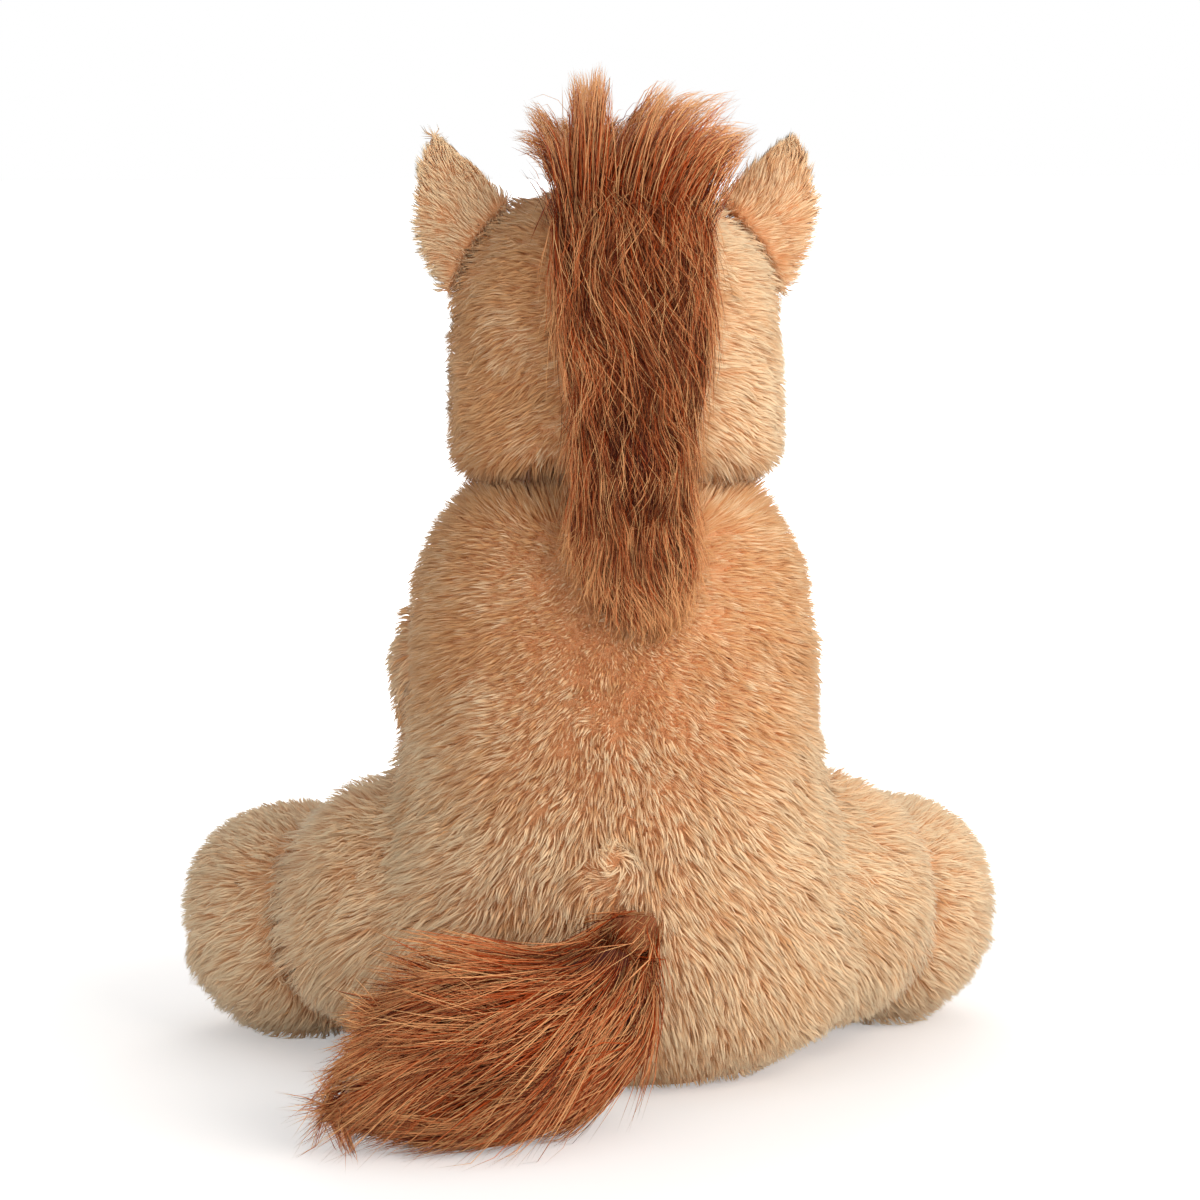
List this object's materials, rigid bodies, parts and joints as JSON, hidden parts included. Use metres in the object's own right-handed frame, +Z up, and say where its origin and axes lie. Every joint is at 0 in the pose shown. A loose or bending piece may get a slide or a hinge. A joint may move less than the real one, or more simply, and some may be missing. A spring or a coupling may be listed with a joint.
{
  "type": "plush horse",
  "caption": "Sitting plush horse with a stuffed body, nodding head, bending ears, swinging forelegs, turning hind feet, long hair mane and a lifting hair tail.",
  "frame": {"origin": "middle of the flat under the seat, on the surface that the toy sits on", "axes": "+Z up, the face looks along -Y, the toy's own left side is +X"},
  "size_m": [0.2496, 0.2192, 0.2886],
  "materials": {
    "plush": "matte",
    "pale_plush": "matte",
    "hair": "satin",
    "suede": "matte",
    "thread": "matte",
    "cloth": "matte",
    "eye_plastic": "gloss",
    "washer_plastic": "satin"
  },
  "bodies": {
    "body": {"torso": "plush", "seat_pellet_pouch": "cloth", "closing_stitches": "thread", "left_haunch": "plush", "right_haunch": "plush", "back_mane": "hair"},
    "head": {"head": "plush", "muzzle": "pale_plush", "left_nostril": "thread", "right_nostril": "thread", "mouth_stitch": "thread", "left_eye": "eye_plastic", "right_eye": "eye_plastic", "left_eye_washer": "washer_plastic", "right_eye_washer": "washer_plastic", "forelock": "hair", "head_mane": "hair"},
    "left_ear": {"left_ear": "plush", "left_ear_lining": "pale_plush"},
    "right_ear": {"right_ear": "plush", "right_ear_lining": "pale_plush"},
    "left_foreleg": {"left_foreleg": "plush", "left_fore_sole": "suede"},
    "right_foreleg": {"right_foreleg": "plush", "right_fore_sole": "suede"},
    "left_hind_foot": {"left_hind_foot": "plush", "left_hind_sole": "suede"},
    "right_hind_foot": {"right_hind_foot": "plush", "right_hind_sole": "suede"},
    "tail": {"tail_root": "hair", "tail": "hair"}
  },
  "joints": [
    {"name": "head_nod", "type": "hinge", "parent": "body", "child": "head", "pos_m": [0, -0.014, 0.171], "axis": [1, 0, 0], "range_deg": [-8, 8], "stiffness_Nm_per_rad": 1.5},
    {"name": "left_ear_bend", "type": "hinge", "parent": "head", "child": "left_ear", "pos_m": [0.0375, -0.018, 0.236], "axis": [0.7071, 0, -0.7071], "range_deg": [-20, 20], "stiffness_Nm_per_rad": 0.01},
    {"name": "right_ear_bend", "type": "hinge", "parent": "head", "child": "right_ear", "pos_m": [-0.0425, -0.018, 0.236], "axis": [-0.7071, 0, -0.7071], "range_deg": [-20, 20], "stiffness_Nm_per_rad": 0.01},
    {"name": "left_foreleg_swing", "type": "hinge", "parent": "body", "child": "left_foreleg", "pos_m": [0.041, -0.025, 0.116], "axis": [-1, 0, 0], "range_deg": [0, 55]},
    {"name": "right_foreleg_swing", "type": "hinge", "parent": "body", "child": "right_foreleg", "pos_m": [-0.041, -0.025, 0.116], "axis": [-1, 0, 0], "range_deg": [0, 55]},
    {"name": "left_hind_foot_turn", "type": "hinge", "parent": "body", "child": "left_hind_foot", "pos_m": [0.078, -0.022, 0.035], "axis": [0, 0, 1], "range_deg": [-4, 15]},
    {"name": "right_hind_foot_turn", "type": "hinge", "parent": "body", "child": "right_hind_foot", "pos_m": [-0.078, -0.022, 0.035], "axis": [0, 0, -1], "range_deg": [-4, 15]},
    {"name": "tail_lift", "type": "hinge", "parent": "body", "child": "tail", "pos_m": [0, 0.05237, 0.055], "axis": [1, 0, 0], "range_deg": [0, 70]}
  ]
}
